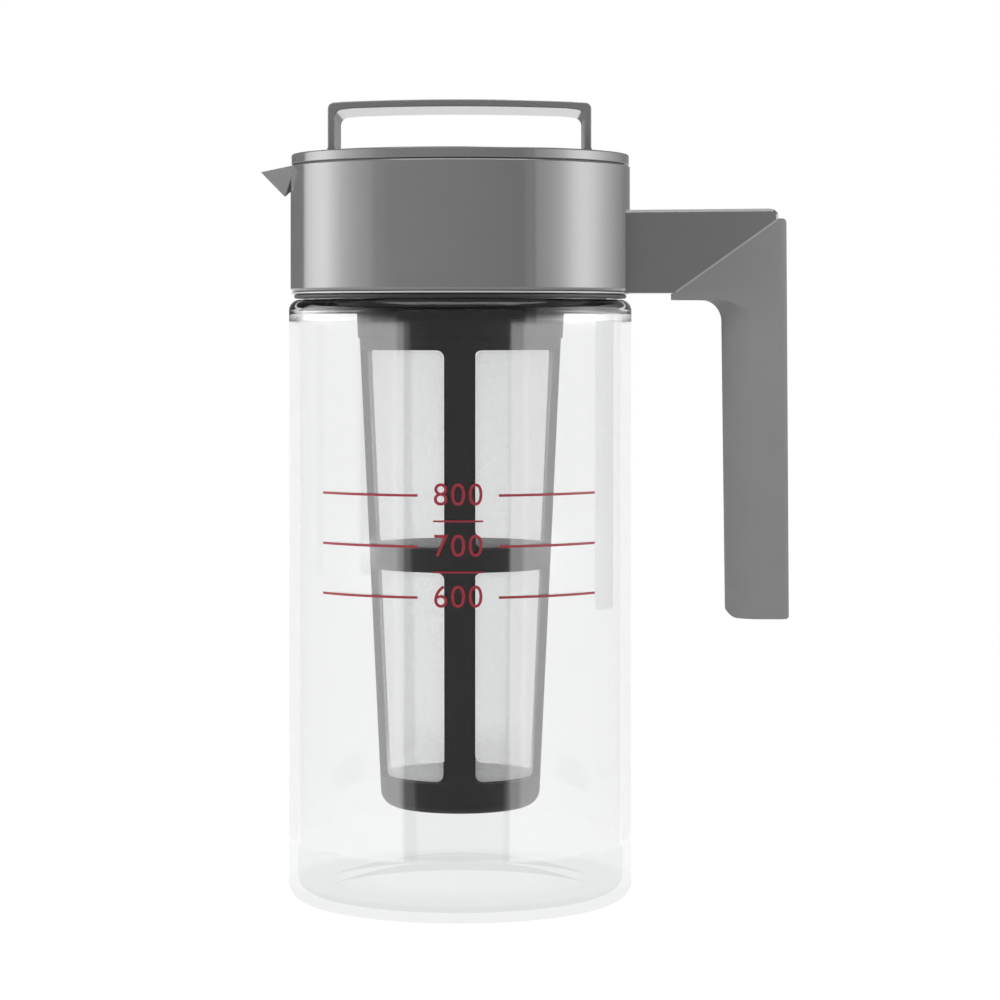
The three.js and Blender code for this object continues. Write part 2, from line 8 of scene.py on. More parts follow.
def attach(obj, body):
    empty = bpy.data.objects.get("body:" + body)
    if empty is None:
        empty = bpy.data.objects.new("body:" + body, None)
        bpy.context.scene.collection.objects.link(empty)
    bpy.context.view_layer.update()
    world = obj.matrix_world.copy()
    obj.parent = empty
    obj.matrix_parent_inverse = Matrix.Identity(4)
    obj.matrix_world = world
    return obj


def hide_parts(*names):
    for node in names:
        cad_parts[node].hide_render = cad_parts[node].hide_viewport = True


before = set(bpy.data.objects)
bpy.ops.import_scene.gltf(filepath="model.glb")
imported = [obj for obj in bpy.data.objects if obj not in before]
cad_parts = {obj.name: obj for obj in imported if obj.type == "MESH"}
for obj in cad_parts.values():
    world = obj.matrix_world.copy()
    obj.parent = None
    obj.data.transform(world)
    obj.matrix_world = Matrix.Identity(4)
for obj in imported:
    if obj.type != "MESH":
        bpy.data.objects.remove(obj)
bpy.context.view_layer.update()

MM = 0.001
JUG_X = -0.01835  # the jug's own axis, in metres
ROUND = 160  # steps round the large turned pieces
ARC_STEP = math.radians(9)  # the coarsest step of a rounded corner
FULL_TURN = 2 * math.pi
QUARTER = math.pi / 2
WELD = 0.004 * MM
WHITE = (1, 1, 1, 1)

# Sizes that pieces share, in millimetres: radii about the jug's axis and heights above the table.
JUG_RADIUS, JUG_BORE, JUG_FLOOR = 50, 47.4, 2.6
SHOULDER, SHOULDER_UNDERSIDE = 174, 171.4
NECK_RADIUS, NECK_BORE, NECK_TOP = 45.6, 43, 204.5
RING_BORE = 45.9
COLLAR_RIM, COLLAR_BORE, COLLAR_TOP = 49.2, 47.6, 212.9
WEB_BORE, WEB_LOW, WEB_TOP = 43.4, 204.8, 206.6
CHANNEL_HALF = 9.3
SPIGOT_HALF, SPIGOT_LOW, SPIGOT_TOP, SPIGOT_ROOM = 9, 180.8, 194.9, 0.3
ARM_HALF, GRIP_OUTER, GRIP_END = 13, 95.2, 81.7
PLUG_BORE, PLUG_BOSS = 25.8, 27.6
DECK_LOW, DECK_TOP = 212.3, 214.1
LID_RADIUS, LID_FOOT, LID_TOP = 49.25, 213.2, 216.2
STRAP_HALF = 19
PRINT_FOOT, PRINT_FACE = 50.04, 50.09


# ---------------------------------------------------------------- modelling


def place(across, depth, height):
    """A point from millimetres about the jug's axis."""
    return Vector((across * MM + JUG_X, depth * MM, height * MM))


def deselect_all():
    """Leaves edit mode and clears the selection."""
    if bpy.context.mode != "OBJECT":
        bpy.ops.object.mode_set(mode="OBJECT")
    bpy.ops.object.select_all(action="DESELECT")


def only(piece):
    """Makes this the one selected and active piece."""
    deselect_all()
    piece.select_set(True)
    bpy.context.view_layer.objects.active = piece
    return piece


def traced(name, points):
    """A chain of edges drawn by extruding one vertex from point to point, left in edit mode."""
    deselect_all()
    bpy.ops.mesh.primitive_plane_add(size=MM)
    piece = bpy.context.object
    piece.name = name
    bpy.ops.object.mode_set(mode="EDIT")
    bpy.ops.mesh.merge(type="CENTER")
    bpy.ops.transform.translate(value=points[0])
    for last, point in zip(points, points[1:]):
        bpy.ops.mesh.extrude_vertices_move(TRANSFORM_OT_translate={"value": point - last})
    return piece


def welded():
    """Welds the traced points of the piece in edit mode and leaves all of it selected."""
    bpy.ops.mesh.select_all(action="SELECT")
    bpy.ops.mesh.remove_doubles(threshold=WELD)
    bpy.ops.mesh.select_all(action="SELECT")


def tidied():
    """Welds the piece in edit mode, turns its faces outwards and goes back to object mode."""
    bpy.ops.mesh.select_all(action="SELECT")
    bpy.ops.mesh.remove_doubles(threshold=WELD)
    bpy.ops.mesh.normals_make_consistent(inside=False)
    bpy.ops.object.mode_set(mode="OBJECT")


def rounded(corners):
    """The outline through (across, up, radius) corners, each turned by its radius."""
    points = []
    for i, (across, up, radius) in enumerate(corners):
        corner = Vector((across, up))
        if radius == 0:
            points.append(corner)
            continue
        back = (Vector(corners[i - 1][:2]) - corner).normalized()
        ahead = (Vector(corners[(i + 1) % len(corners)][:2]) - corner).normalized()
        opening = back.angle(ahead)
        centre = corner + (back + ahead).normalized() * radius / math.sin(opening / 2)
        first = corner + back * radius / math.tan(opening / 2) - centre
        side = back.x * ahead.y - back.y * ahead.x
        turn = math.copysign(math.pi - opening, -side)
        steps = max(2, round(abs(turn) / ARC_STEP))
        points += [centre + Matrix.Rotation(turn * k / steps, 2) @ first for k in range(steps + 1)]
    return points


def arc(centre, radius, start, end, steps=6):
    """Points of an arc, with its angles in degrees, as corners that aren't rounded."""
    angles = [math.radians(start + (end - start) * k / steps) for k in range(steps + 1)]
    return [(centre[0] + radius * math.cos(a), centre[1] + radius * math.sin(a), 0) for a in angles]


def turned(name, corners, steps=ROUND, sweep=FULL_TURN, middle=0.0):
    """A turned solid about the jug's axis. The middle of a part turn faces this angle from +X."""
    outline = rounded(corners)
    points = [place(radius, 0, height) for radius, height in outline]
    on_axis = outline[0].x == 0 and outline[-1].x == 0
    piece = traced(name, points if on_axis else points + points[:1])
    welded()
    if sweep < FULL_TURN:
        bpy.ops.mesh.edge_face_add()
    bpy.ops.mesh.spin(steps=steps, angle=sweep, center=(JUG_X, 0, 0), axis=(0, 0, 1))
    tidied()
    if sweep < FULL_TURN:
        turn_about_axis(piece, middle, by_middle=True)
    return piece


def three_round(name, corners, steps, sweep, first=0.0):
    """Three equal part turns of so many degrees, evenly round the axis. The first one's middle faces this angle."""
    return [turned(f"{name}_{i}", corners, steps, math.radians(sweep), first + i * FULL_TURN / 3) for i in range(3)]


def turn_about_axis(piece, angle, by_middle=False):
    """Turns a piece about the jug's axis, by an angle or until its middle faces the angle."""
    if by_middle:
        middle = sum((v.co for v in piece.data.vertices), Vector()) / len(piece.data.vertices)
        angle -= math.atan2(middle.y, middle.x - JUG_X)
    home = Matrix.Translation((JUG_X, 0, 0))
    piece.data.transform(home @ Matrix.Rotation(angle, 4, "Z") @ home.inverted())
    return piece


def profiled(name, outline, half_depth, middle=0.0):
    """A solid that has this outline from the front and runs from front to back."""
    points = [place(point[0], middle - half_depth, point[1]) for point in outline]
    piece = traced(name, points + points[:1])
    welded()
    bpy.ops.mesh.edge_face_add()
    bpy.ops.mesh.extrude_region_move(TRANSFORM_OT_translate={"value": (0, 2 * half_depth * MM, 0)})
    tidied()
    return piece


def block(name, low, high):
    """A plain box between two corners, to join or cut with."""
    (x0, y0, z0), (x1, y1, z1) = low, high
    return profiled(name, [(x0, z0), (x1, z0), (x1, z1), (x0, z1)], (y1 - y0) / 2, (y0 + y1) / 2)


def copied(piece, name):
    """A separate piece with the same mesh."""
    twin = piece.copy()
    twin.data = piece.data.copy()
    twin.name = name
    bpy.context.scene.collection.objects.link(twin)
    return twin


def joined(name, pieces):
    """Makes several pieces one, under a name."""
    only(pieces[0])
    for piece in pieces:
        piece.select_set(True)
    bpy.ops.object.join()
    pieces[0].name = name
    return pieces[0]


def applied(piece, kind, **settings):
    """Adds a modifier with its settings and applies it."""
    only(piece)
    modifier = piece.modifiers.new(kind.title(), kind)
    for key, value in settings.items():
        setattr(modifier, key, value)
    bpy.ops.object.modifier_apply(modifier=modifier.name)
    return piece


def combined(piece, operation, *tools):
    """Joins the tools to the piece, cuts them out of it or keeps what they share."""
    tool = tools[0] if len(tools) == 1 else joined("tool", list(tools))
    applied(piece, "BOOLEAN", operation=operation, object=tool, solver="EXACT")
    bpy.data.objects.remove(tool)
    return piece


def softened(piece, width, segments=2, angle=40):
    """Rounds the edges that are sharper than an angle."""
    return applied(
        piece, "BEVEL", width=width * MM, segments=segments, limit_method="ANGLE", angle_limit=math.radians(angle)
    )


def eased(piece, width, share, segments=3):
    """Eases chosen edges: share gives each edge's part of the width from its two ends about the jug's axis."""
    weights = piece.data.attributes.new("bevel_weight_edge", "FLOAT", "EDGE")
    for edge in piece.data.edges:
        ends = [piece.data.vertices[i].co for i in edge.vertices]
        weights.data[edge.index].value = share(*[((end.x - JUG_X) / MM, end.y / MM, end.z / MM) for end in ends])
    return applied(piece, "BEVEL", width=width * MM, segments=segments, limit_method="WEIGHT")


def finished(piece, body, finish, slot, *nodes, angle=32):
    """Gives a piece its smooth shading, finish and body, and hides the nodes that it stands for."""
    only(piece)
    bpy.ops.object.shade_smooth_by_angle(angle=math.radians(angle))
    applied(piece, "WEIGHTED_NORMAL", keep_sharp=True)
    piece.data.materials.clear()
    piece.data.materials.append(finish)
    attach(piece, body)
    if nodes:
        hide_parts(*nodes)
    return piece


# ---------------------------------------------------------------- finishes


class Wire:
    """One socket of a finish, with sums written as on numbers."""

    def __init__(self, finish, socket):
        self.finish, self.socket = finish, socket

    def maths(self, operation, *values):
        return self.finish.node("Math", {"operation": operation}, dict(enumerate(values)))

    def __add__(self, other):
        return self.maths("ADD", self, other)

    __radd__ = __add__

    def __sub__(self, other):
        return self.maths("SUBTRACT", self, other)

    def __rsub__(self, other):
        return self.maths("SUBTRACT", other, self)

    def __mul__(self, other):
        return self.maths("MULTIPLY", self, other)

    __rmul__ = __mul__

    def __truediv__(self, other):
        return self.maths("DIVIDE", self, other)


class Finish:
    """The nodes of a material or of the world."""

    def __init__(self, owner):
        self.owner = owner
        owner.use_nodes = True
        self.tree = owner.node_tree
        self.tree.nodes.clear()

    def node(self, kind, settings=None, sockets=None, out=0):
        """Makes a node: its settings first, then the values and links of its sockets."""
        made = self.tree.nodes.new("ShaderNode" + kind)
        for key, value in (settings or {}).items():
            if key == "stops":
                ramp = made.color_ramp
                while len(ramp.elements) < len(value):
                    ramp.elements.new(1)
                for element, (position, level) in zip(ramp.elements, value):
                    element.position = position
                    element.color = (level, level, level, 1)
            else:
                setattr(made, key, value)
        for key, value in (sockets or {}).items():
            if isinstance(value, Wire):
                self.tree.links.new(value.socket, made.inputs[key])
            else:
                made.inputs[key].default_value = value
        return Wire(self, made.outputs[out]) if len(made.outputs) else None

    def axes(self):
        """The three Object coordinates, in metres."""
        place_on_piece = self.node("TexCoord", out="Object")
        return [self.node("SeparateXYZ", sockets={0: place_on_piece}, out=i) for i in range(3)]

    def noise(self, scale, detail=2, roughness=0.5):
        """An even random pattern from 0 to 1, with this many waves to the metre."""
        place_on_piece = self.node("TexCoord", out="Object")
        values = {"Vector": place_on_piece, "Scale": scale, "Detail": detail, "Roughness": roughness}
        return self.node("TexNoise", sockets=values)

    def smooth_step(self, value, start, end, low, high):
        """Low before the start, high past the end, with a smooth change between."""
        sockets = {"Value": value, "From Min": start, "From Max": end, "To Min": low, "To Max": high}
        return self.node("MapRange", {"interpolation_type": "SMOOTHSTEP"}, sockets)

    def mixed(self, share, first, second):
        """A colour between two."""
        return self.node("Mix", {"data_type": "RGBA"}, {0: share, 6: first, 7: second}, out=2)

    def ray(self, kind):
        """Whether the light path is one of this kind, as 0 or 1."""
        return self.node("LightPath", out=f"Is {kind} Ray")

    def surface(self, shader, kind="OutputMaterial"):
        """Puts the shader on the output and gives back the material or the world."""
        self.node(kind, sockets={"Surface": shader})
        return self.owner


def grey(level):
    """An opaque grey of this linear level."""
    return (level, level, level, 1)


def new_finish(name):
    """The empty nodes of a new material."""
    return Finish(bpy.data.materials.new(name))


GRAIN_WAVES = 1 / 0.0006  # to the metre
UNEVEN_COLOUR = 0.03
UNEVEN_GLOSS = 0.2


def moulded(name, level, roughness, grain=0.0, specular=0.5):
    """A moulded plastic: an even grey with slight unevenness in colour and gloss, and a fine grain where it has one."""
    make = new_finish(name)
    cloudy = make.noise(90, detail=3)
    darker, lighter = grey(level * (1 - UNEVEN_COLOUR)), grey(level * (1 + UNEVEN_COLOUR))
    sockets = {
        "Base Color": make.mixed(cloudy, darker, lighter),
        "Roughness": roughness * (1 - UNEVEN_GLOSS / 2 + cloudy * UNEVEN_GLOSS),
        "Specular IOR Level": specular,
    }
    if grain:
        fine = make.noise(GRAIN_WAVES)
        sockets["Normal"] = make.node("Bump", sockets={"Strength": 1.0, "Distance": grain, "Height": fine})
    return make.surface(make.node("BsdfPrincipled", sockets=sockets))


# The jug's clear plastic. Facing runs from 0, seen square on, to 1, seen edge on, and the heights are in metres.
CLEAR_IOR = 1.33
WALL_TINT = (0.951, 0.953, 0.953, 1)
BASE_TINT = (0.961, 0.964, 0.964, 1)
FOOT_TINT = (0.932, 0.935, 0.935, 1)
SIDE_FACING, SIDE_MIRROR = (0.040, 0.050), 0.16
RIM_FACING, RIM_MIRROR = (0.62, 0.70), 0.56
MIRROR_ENDS = (0.166, 0.170)
BASE_ENDS = (0.0165, 0.0185)
FOOT_ENDS = (0.0045, 0.006)


def clear_finish():
    """Clear plastic that mirrors a little more at its sides, and most at its two rims as the camera sees them.

    The base is plain and not bent like the wall, and light and shade pass straight through all of it.
    """
    make = new_finish("clear_plastic")
    height = make.axes()[2]
    facing = make.node("LayerWeight", sockets={"Blend": 0.5}, out="Facing")
    rim = make.smooth_step(facing, *RIM_FACING, 0.0, RIM_MIRROR) * make.ray("Camera")
    aside = make.smooth_step(facing, *SIDE_FACING, 0.0, SIDE_MIRROR) + rim
    wall = make.smooth_step(height, *MIRROR_ENDS, 1.0, 0.0)
    clear = make.node("BsdfGlass", sockets={"Color": WALL_TINT, "Roughness": 0.0, "IOR": CLEAR_IOR})
    mirror = make.node("BsdfGlossy", sockets={"Color": WHITE, "Roughness": 0.03})
    look = make.node("MixShader", sockets={0: aside * wall, 1: clear, 2: mirror})
    base = make.smooth_step(height, *BASE_ENDS, 1.0, 0.0)
    foot = make.smooth_step(height, *FOOT_ENDS, 1.0, 0.0)
    thin = make.node("BsdfTransparent", sockets={"Color": BASE_TINT})
    thick = make.node("BsdfTransparent", sockets={"Color": FOOT_TINT})
    through = make.node("MixShader", sockets={0: foot, 1: thin, 2: thick})
    shadow, diffuse = make.ray("Shadow"), make.ray("Diffuse")
    plain = base.maths("MAXIMUM", base, shadow.maths("MAXIMUM", shadow, diffuse))
    return make.surface(make.node("MixShader", sockets={0: plain, 1: look, 2: through}))


# The filter's mesh, in millimetres.
THREAD_PITCH = 0.55
PANEL_RADIUS = 27.0
BARE_COVER = 0.11  # how much of the light the mesh stops, before what threads, specks and clouds add
NEAR_END, END_COVER = (0.034, 0.051), 0.2


def woven_finish():
    """Fine pale filter mesh: threads up and round, with light through the holes between them."""
    make = new_finish("filter_mesh")
    x, y, z = make.axes()
    across = y.maths("ARCTAN2", y, x - JUG_X) * PANEL_RADIUS / THREAD_PITCH
    along = z * (1 / MM) / THREAD_PITCH
    up = across.maths("PINGPONG", across, 0.5) * 2.0
    round_it = along.maths("PINGPONG", along, 0.5) * 2.0
    thread = up.maths("MAXIMUM", up, round_it)
    speck = make.noise(900, roughness=0.7)
    cloud = make.noise(60)
    facing = make.node("LayerWeight", sockets={"Blend": 0.5}, out="Facing")
    near_end = make.smooth_step(z, *NEAR_END, END_COVER, 0.0)
    cover = BARE_COVER + 0.06 * thread + 0.14 * (speck - 0.5) + 0.04 * (cloud - 0.5) - 0.09 * facing + near_end
    sockets = {
        "Base Color": make.mixed(thread, grey(0.90), grey(0.96)),
        "Roughness": 0.6,
        "Alpha": cover,
        "Normal": make.node("Bump", sockets={"Strength": 0.5, "Distance": 0.00008, "Height": thread}),
    }
    return make.surface(make.node("BsdfPrincipled", sockets=sockets))


def print_finish():
    """A matte red print."""
    make = new_finish("scale_print")
    patchy = make.noise(1500, detail=1)
    colour = make.mixed(patchy, (0.230, 0.0135, 0.0245, 1), (0.252, 0.0152, 0.0276, 1))
    return make.surface(make.node("BsdfPrincipled", sockets={"Base Color": colour, "Roughness": 0.42}))


GLOSS_GREY = moulded("gloss_grey", 0.149, 0.07)
SOFT_GREY = moulded("soft_grey", 0.196, 0.62, grain=0.00002, specular=0.12)
INNER_GREY = moulded("inner_grey", 0.12, 0.35)
DARK_PLASTIC = moulded("dark_plastic", 0.011, 0.55, specular=0.05)
DARK_RUBBER = moulded("dark_rubber", 0.018, 0.55, grain=0.00001)
CLEAR_PLASTIC = clear_finish()
FILTER_MESH = woven_finish()
# A paler copy of the collar's gloss grey: a painted highlight for the collar's lower lip.
LIP_HIGHLIGHT_GREY = moulded("lip_highlight_paint", 0.42, 0.3)
# A paler copy of the grip's soft grey: a painted highlight for the light line along the seam.
SEAM_HIGHLIGHT_GREY = moulded("seam_highlight_paint", 0.29, 0.5, specular=0.2)
SCALE_PRINT = print_finish()


# ---------------------------------------------------------------- camera


EYE = (-0.00675, -0.944, 0.1666)  # a level camera, in metres
LENS, SENSOR = 116.2, 36  # in millimetres
DOWN_SHIFT = -0.175

camera = bpy.data.objects.new("camera", bpy.data.cameras.new("camera"))
bpy.context.scene.collection.objects.link(camera)
camera.location = EYE
camera.rotation_euler = (QUARTER, 0, 0)
camera.data.lens = LENS
camera.data.sensor_width = SENSOR
camera.data.shift_y = DOWN_SHIFT
camera.data.clip_start = 0.01
camera.data.clip_end = 20
bpy.context.scene.camera = camera


# ---------------------------------------------------------------- jug


DOME_TOP, DOME_RADIUS, DOME_EDGE = 8.4, 111.71, 67.64  # the edge is an angle in degrees
BEAD_RADIUS = 46.3

dome = arc((0, DOME_TOP - DOME_RADIUS), DOME_RADIUS, 90, DOME_EDGE, steps=18)
inner_dome = [(radius, height + JUG_FLOOR, 0) for radius, height, _ in reversed(dome)]
jug = turned(
    "jug",
    [
        *dome,
        (JUG_RADIUS, 0, 4.7),
        (JUG_RADIUS, SHOULDER, 3.2),
        (NECK_RADIUS, SHOULDER, 0),
        (NECK_RADIUS, 189, 0),
        (BEAD_RADIUS, 189.7, 0.2),
        (BEAD_RADIUS, 190.7, 0.2),
        (NECK_RADIUS, 191.4, 0),
        (NECK_RADIUS, NECK_TOP, 0.6),
        (NECK_BORE, NECK_TOP, 0.6),
        (NECK_BORE, SHOULDER_UNDERSIDE, 0),
        (JUG_BORE, SHOULDER_UNDERSIDE, 1.8),
        (JUG_BORE, JUG_FLOOR, 4),
        *inner_dome,
    ],
)
finished(jug, "jug", CLEAR_PLASTIC, "clear_plastic", "jug_body")

seal = turned(
    "shoulder_seal", [(RING_BORE, 174.3, 0.2), (48.5, 174.3, 0.5), (48.5, 175.5, 0.5), (RING_BORE, 175.5, 0.2)]
)
finished(seal, "jug", DARK_RUBBER, "dark_rubber", "neck_gasket")

lock_ring = turned(
    "lock_ring",
    [
        (RING_BORE, 175.8, 0.2),
        (47.3, 175.8, 0.2),
        (47.3, NECK_TOP, 0.2),
        (RING_BORE, NECK_TOP, 0.2),
        (RING_BORE, 191.7, 0),
        (46.6, 191, 0),
        (46.6, 189.4, 0),
        (RING_BORE, 188.7, 0),
    ],
)
finished(lock_ring, "jug", DARK_PLASTIC, "dark_plastic", "neck_ring")


# ---------------------------------------------------------------- collar and spout


def hull(name, points, edge=0.0):
    """The smallest convex solid round some points, with softened edges."""
    piece = traced(name, [place(*point) for point in points])
    bpy.ops.mesh.select_all(action="SELECT")
    bpy.ops.mesh.convex_hull()
    tidied()
    return softened(piece, edge, segments=4, angle=12) if edge else piece


collar = turned(
    "collar",
    [
        (COLLAR_BORE, 176.25, 0.1),
        (48.9, 176.25, 0),
        (COLLAR_RIM, 176.55, 0.1),
        (49.55, 177.0, 0.5),
        (49.55, 212.55, 0),
        (COLLAR_RIM, COLLAR_TOP, 0),
        (COLLAR_BORE, COLLAR_TOP, 0.3),
        (COLLAR_BORE, WEB_TOP, 0),
        (WEB_BORE, WEB_TOP, 0.4),
        (WEB_BORE, WEB_LOW, 0.2),
        (COLLAR_BORE, WEB_LOW, 0),
    ],
)
ridges = three_round("ridge", [(44.6, 209.6, 0.3), (48.1, 209.6, 0), (48.1, 211.2, 0), (44.6, 211.2, 0.3)], 12, 24)
spout = hull(
    "spout",
    [
        (-58.5, 0, 211.3),
        (-51.3, 0, 203.9),
        (-48.1, 0, 206.9),
        (-COLLAR_BORE, 11, COLLAR_TOP),
        (-COLLAR_BORE, -11, COLLAR_TOP),
        (-48.3, 0, COLLAR_TOP),
    ],
    0.25,
)
combined(collar, "UNION", *ridges, spout)
channel = hull(
    "channel",
    [
        (-56.1, 0, 211.3),
        (-56.1, 0, 217.3),
        (-50.7, 0, 205.6),
        (-41.6, 0, 208.1),
        (-COLLAR_BORE, CHANNEL_HALF, COLLAR_TOP),
        (-COLLAR_BORE, -CHANNEL_HALF, COLLAR_TOP),
        (-41.6, CHANNEL_HALF, 218.9),
        (-41.6, -CHANNEL_HALF, 218.9),
    ],
)
combined(channel, "DIFFERENCE", block("below", (-70, -30, 170), (-30, 30, WEB_TOP)))
window = block(
    "window",
    (20, -SPIGOT_HALF - SPIGOT_ROOM, SPIGOT_LOW - SPIGOT_ROOM),
    (60, SPIGOT_HALF + SPIGOT_ROOM, SPIGOT_TOP + SPIGOT_ROOM),
)
combined(collar, "DIFFERENCE", channel, window)
finished(collar, "jug", GLOSS_GREY, "gloss_grey", "collar_shell")
# The lip under the collar is drawn in a paler grey than the collar: a painted highlight for the bright line along its
# edge.
lip = turned("collar_lip", [(48, 175.65, 0), (COLLAR_RIM, 175.65, 0.1), (COLLAR_RIM, 176.12, 0.1), (48, 176.12, 0)])
finished(lip, "jug", LIP_HIGHLIGHT_GREY, "gloss_grey")


# ---------------------------------------------------------------- arm and grip


ARM_FACE = 49.5  # the arm ends a little inside the collar's outer face


def disc(name, radius, low=160, high=220):
    """A plain disc about the jug's axis, taller than the arm, to cut with."""
    return turned(name, [(0, low, 0), (radius, low, 0), (radius, high, 0), (0, high, 0)])


SEAM_START, SEAM_END = (62.1, 175.8), (92.1, 197.5)
ARM_START = 30
TANG_HALF = 4.5
TANG_END = (86, 93.7)  # across and up
TANG_TOP, TANG_TOP_INNER, TANG_TOP_OUTER = 84.95, 189.6, 196.0  # across, and up at its two sides
TANG_DEPTH = 7.5  # to each side
SOCKET_ROOM = 0.3


def tang_outline(room):
    """The tang inside the grip from the front, with room all round it. Its upper end follows the seam."""
    half = TANG_HALF + room
    return [
        (TANG_END[0] - half, TANG_END[1] - room),
        (TANG_END[0] + half, TANG_END[1] - room),
        (TANG_TOP + half, TANG_TOP_OUTER + 0.7 * room),
        (TANG_TOP - half, TANG_TOP_INNER - 0.7 * room),
    ]


arm_corners = [
    (ARM_START, SEAM_START[1], 0),
    (*SEAM_START, 0),
    (*SEAM_END, 0),
    (SEAM_END[0], 200.25, 2.6),
    (ARM_START, 199.65, 0),
]
arm = profiled("arm", rounded(arm_corners), ARM_HALF)


def arm_edge(first, last):
    """The arm is well rounded along its top, barely along its underside and not at all on its seam."""
    runs_across = abs(first[1] - last[1]) > 1
    in_collar = max(first[0], last[0]) < ARM_START + 1
    if runs_across or in_collar:
        return 0.0
    if min(first[2], last[2]) > SEAM_END[1] - 0.1:
        return 1.0
    return 0.35 if max(first[2], last[2]) < SEAM_START[1] + 0.2 else 0.0


eased(arm, 0.8, arm_edge, segments=1)
combined(arm, "DIFFERENCE", disc("collar_face", ARM_FACE))
spigot = block("spigot", (ARM_START, -SPIGOT_HALF, SPIGOT_LOW), (52, SPIGOT_HALF, SPIGOT_TOP))
combined(spigot, "DIFFERENCE", disc("collar_bore", COLLAR_BORE))
tang = profiled("tang", tang_outline(0), TANG_DEPTH)
softened(tang, 0.5)
combined(arm, "UNION", spigot, tang)
finished(arm, "jug", GLOSS_GREY, "gloss_grey", "handle_arm")
arm.visible_glossy = False

# The throat, where the grip turns into its nose: its middle across and up, and its two radii. Along its turn, in
# degrees, the rounding of the grip's inner side reaches less and less far.
THROAT_MIDDLE, THROAT_RADII = (70.6, 167.6), (5.75, 6.3)
ROUNDING_REACH = [
    (0, 9.6), (9, 9.4), (18, 9.1), (27, 8.5), (36, 7.8), (45, 6.9), (54, 6.2), (63, 5.5), (72, 4.4), (81, 2.5),
]
NOSE, NOSE_SLANT = 60.9, 1.45
OUTER_TAPER = 0.00605
OUTER_CORNER = 3
SIDE_STEPS = 24
LEVEL_GAP = 5 * MM


def grip_section(height, inner, reach, slant=0.0):
    """One level section of the grip, seen from above, from its front round its inner side and back."""
    points = []
    for k in range(SIDE_STEPS + 1):
        turn = math.pi * (0.5 - k / SIDE_STEPS)
        depth = -ARM_HALF * math.sin(turn)
        points.append((inner + reach * (1 - math.cos(turn)) + slant * (depth + ARM_HALF) / (2 * ARM_HALF), depth))
    across = GRIP_OUTER - (height - GRIP_END) * OUTER_TAPER - OUTER_CORNER
    depth = ARM_HALF - OUTER_CORNER
    points += [point[:2] for point in arc((across, depth), OUTER_CORNER, 90, 0)]
    points += [point[:2] for point in arc((across, -depth), OUTER_CORNER, 0, -90)]
    return [place(*point, height) for point in points]


sections = [grip_section(81.2, 77.41, 9.7)]
for angle, reach in ROUNDING_REACH:
    turn = math.radians(angle)
    inner = THROAT_MIDDLE[0] + THROAT_RADII[0] * math.cos(turn)
    sections.append(grip_section(THROAT_MIDDLE[1] + THROAT_RADII[1] * math.sin(turn), inner, reach))
sections += [
    grip_section(173.9, THROAT_MIDDLE[0], 0),
    grip_section(173.94, NOSE, 0, NOSE_SLANT),
    grip_section(198.2, NOSE, 0, NOSE_SLANT),
]
# The sections are stacked as copies of the first one, and then each vertex goes to its place on its own section.
grip = traced("grip", sections[0] + sections[0][:1])
welded()
bpy.ops.mesh.edge_face_add()
for _ in sections[1:]:
    bpy.ops.mesh.extrude_region_move(TRANSFORM_OT_translate={"value": (0, 0, LEVEL_GAP)})
bpy.ops.object.mode_set(mode="OBJECT")
for vertex in grip.data.vertices:
    level = round((vertex.co.z - sections[0][0].z) / LEVEL_GAP)
    around = min(range(len(sections[0])), key=lambda i: (sections[0][i].xy - vertex.co.xy).length)
    vertex.co = sections[level][around]
only(grip)
bpy.ops.object.mode_set(mode="EDIT")
tidied()
side_view = rounded(
    [
        (77.4, GRIP_END, 3),
        (95.19, GRIP_END, 1),
        (94.5, 197.4, 1.4),
        (92.1, 197.36, 0),
        (58, 172.99, 0),
        (58, 100, 0),
        (77.15, 100, 0),
    ]
)
combined(grip, "INTERSECT", profiled("side_view", side_view, ARM_HALF + 1))


def grip_edge(first, last):
    """The grip's edge is eased at its end."""
    return 1.0 if max(first[2], last[2]) < GRIP_END + 0.02 else 0.0


eased(grip, 0.4, grip_edge)
combined(grip, "DIFFERENCE", profiled("socket", tang_outline(SOCKET_ROOM), TANG_DEPTH + SOCKET_ROOM))
finished(grip, "jug", SOFT_GREY, "soft_grey", "handle_grip")
grip.visible_glossy = False
# A thin strip in a paler grey along the seam between arm and grip: a painted highlight for the light line on the seam's
# edge.
painted_seam_line = profiled("seam_highlight_strip", [(62.47, 175.82), (91.57, 196.62), (91.23, 197.10), (62.13, 176.3)], ARM_HALF + 0.03)
finished(painted_seam_line, "jug", SEAM_HIGHLIGHT_GREY, "soft_grey")
painted_seam_line.visible_glossy = False


# ---------------------------------------------------------------- lid


SLOT_NEAR, SLOT_FAR, SLOT_HALF = 35.5, 38.1, 8.3
THREAD_STEPS, THREAD_SWEEP = 14, 30  # of the boss and of the filter's ring, in degrees
SLOT_SPACING = 7  # between the pouring slots, in degrees


def strap_slots():
    """What cuts the two slots for the strap's tangs."""
    return [
        block("slot_right", (SLOT_NEAR, -SLOT_HALF, 206.3), (SLOT_FAR, SLOT_HALF, 222)),
        block("slot_left", (-SLOT_FAR, -SLOT_HALF, 206.3), (-SLOT_NEAR, SLOT_HALF, 222)),
    ]


cover = turned(
    "lid_top",
    [
        (47.6, LID_FOOT, 0.2),
        (LID_RADIUS, LID_FOOT, 0.25),
        (LID_RADIUS, LID_TOP, 0.5),
        (0, LID_TOP, 0),
        (0, 214.4, 0),
        (47.6, 214.4, 0),
    ],
)
combined(cover, "DIFFERENCE", *strap_slots())
finished(cover, "lid", GLOSS_GREY, "gloss_grey", "lid_cover")

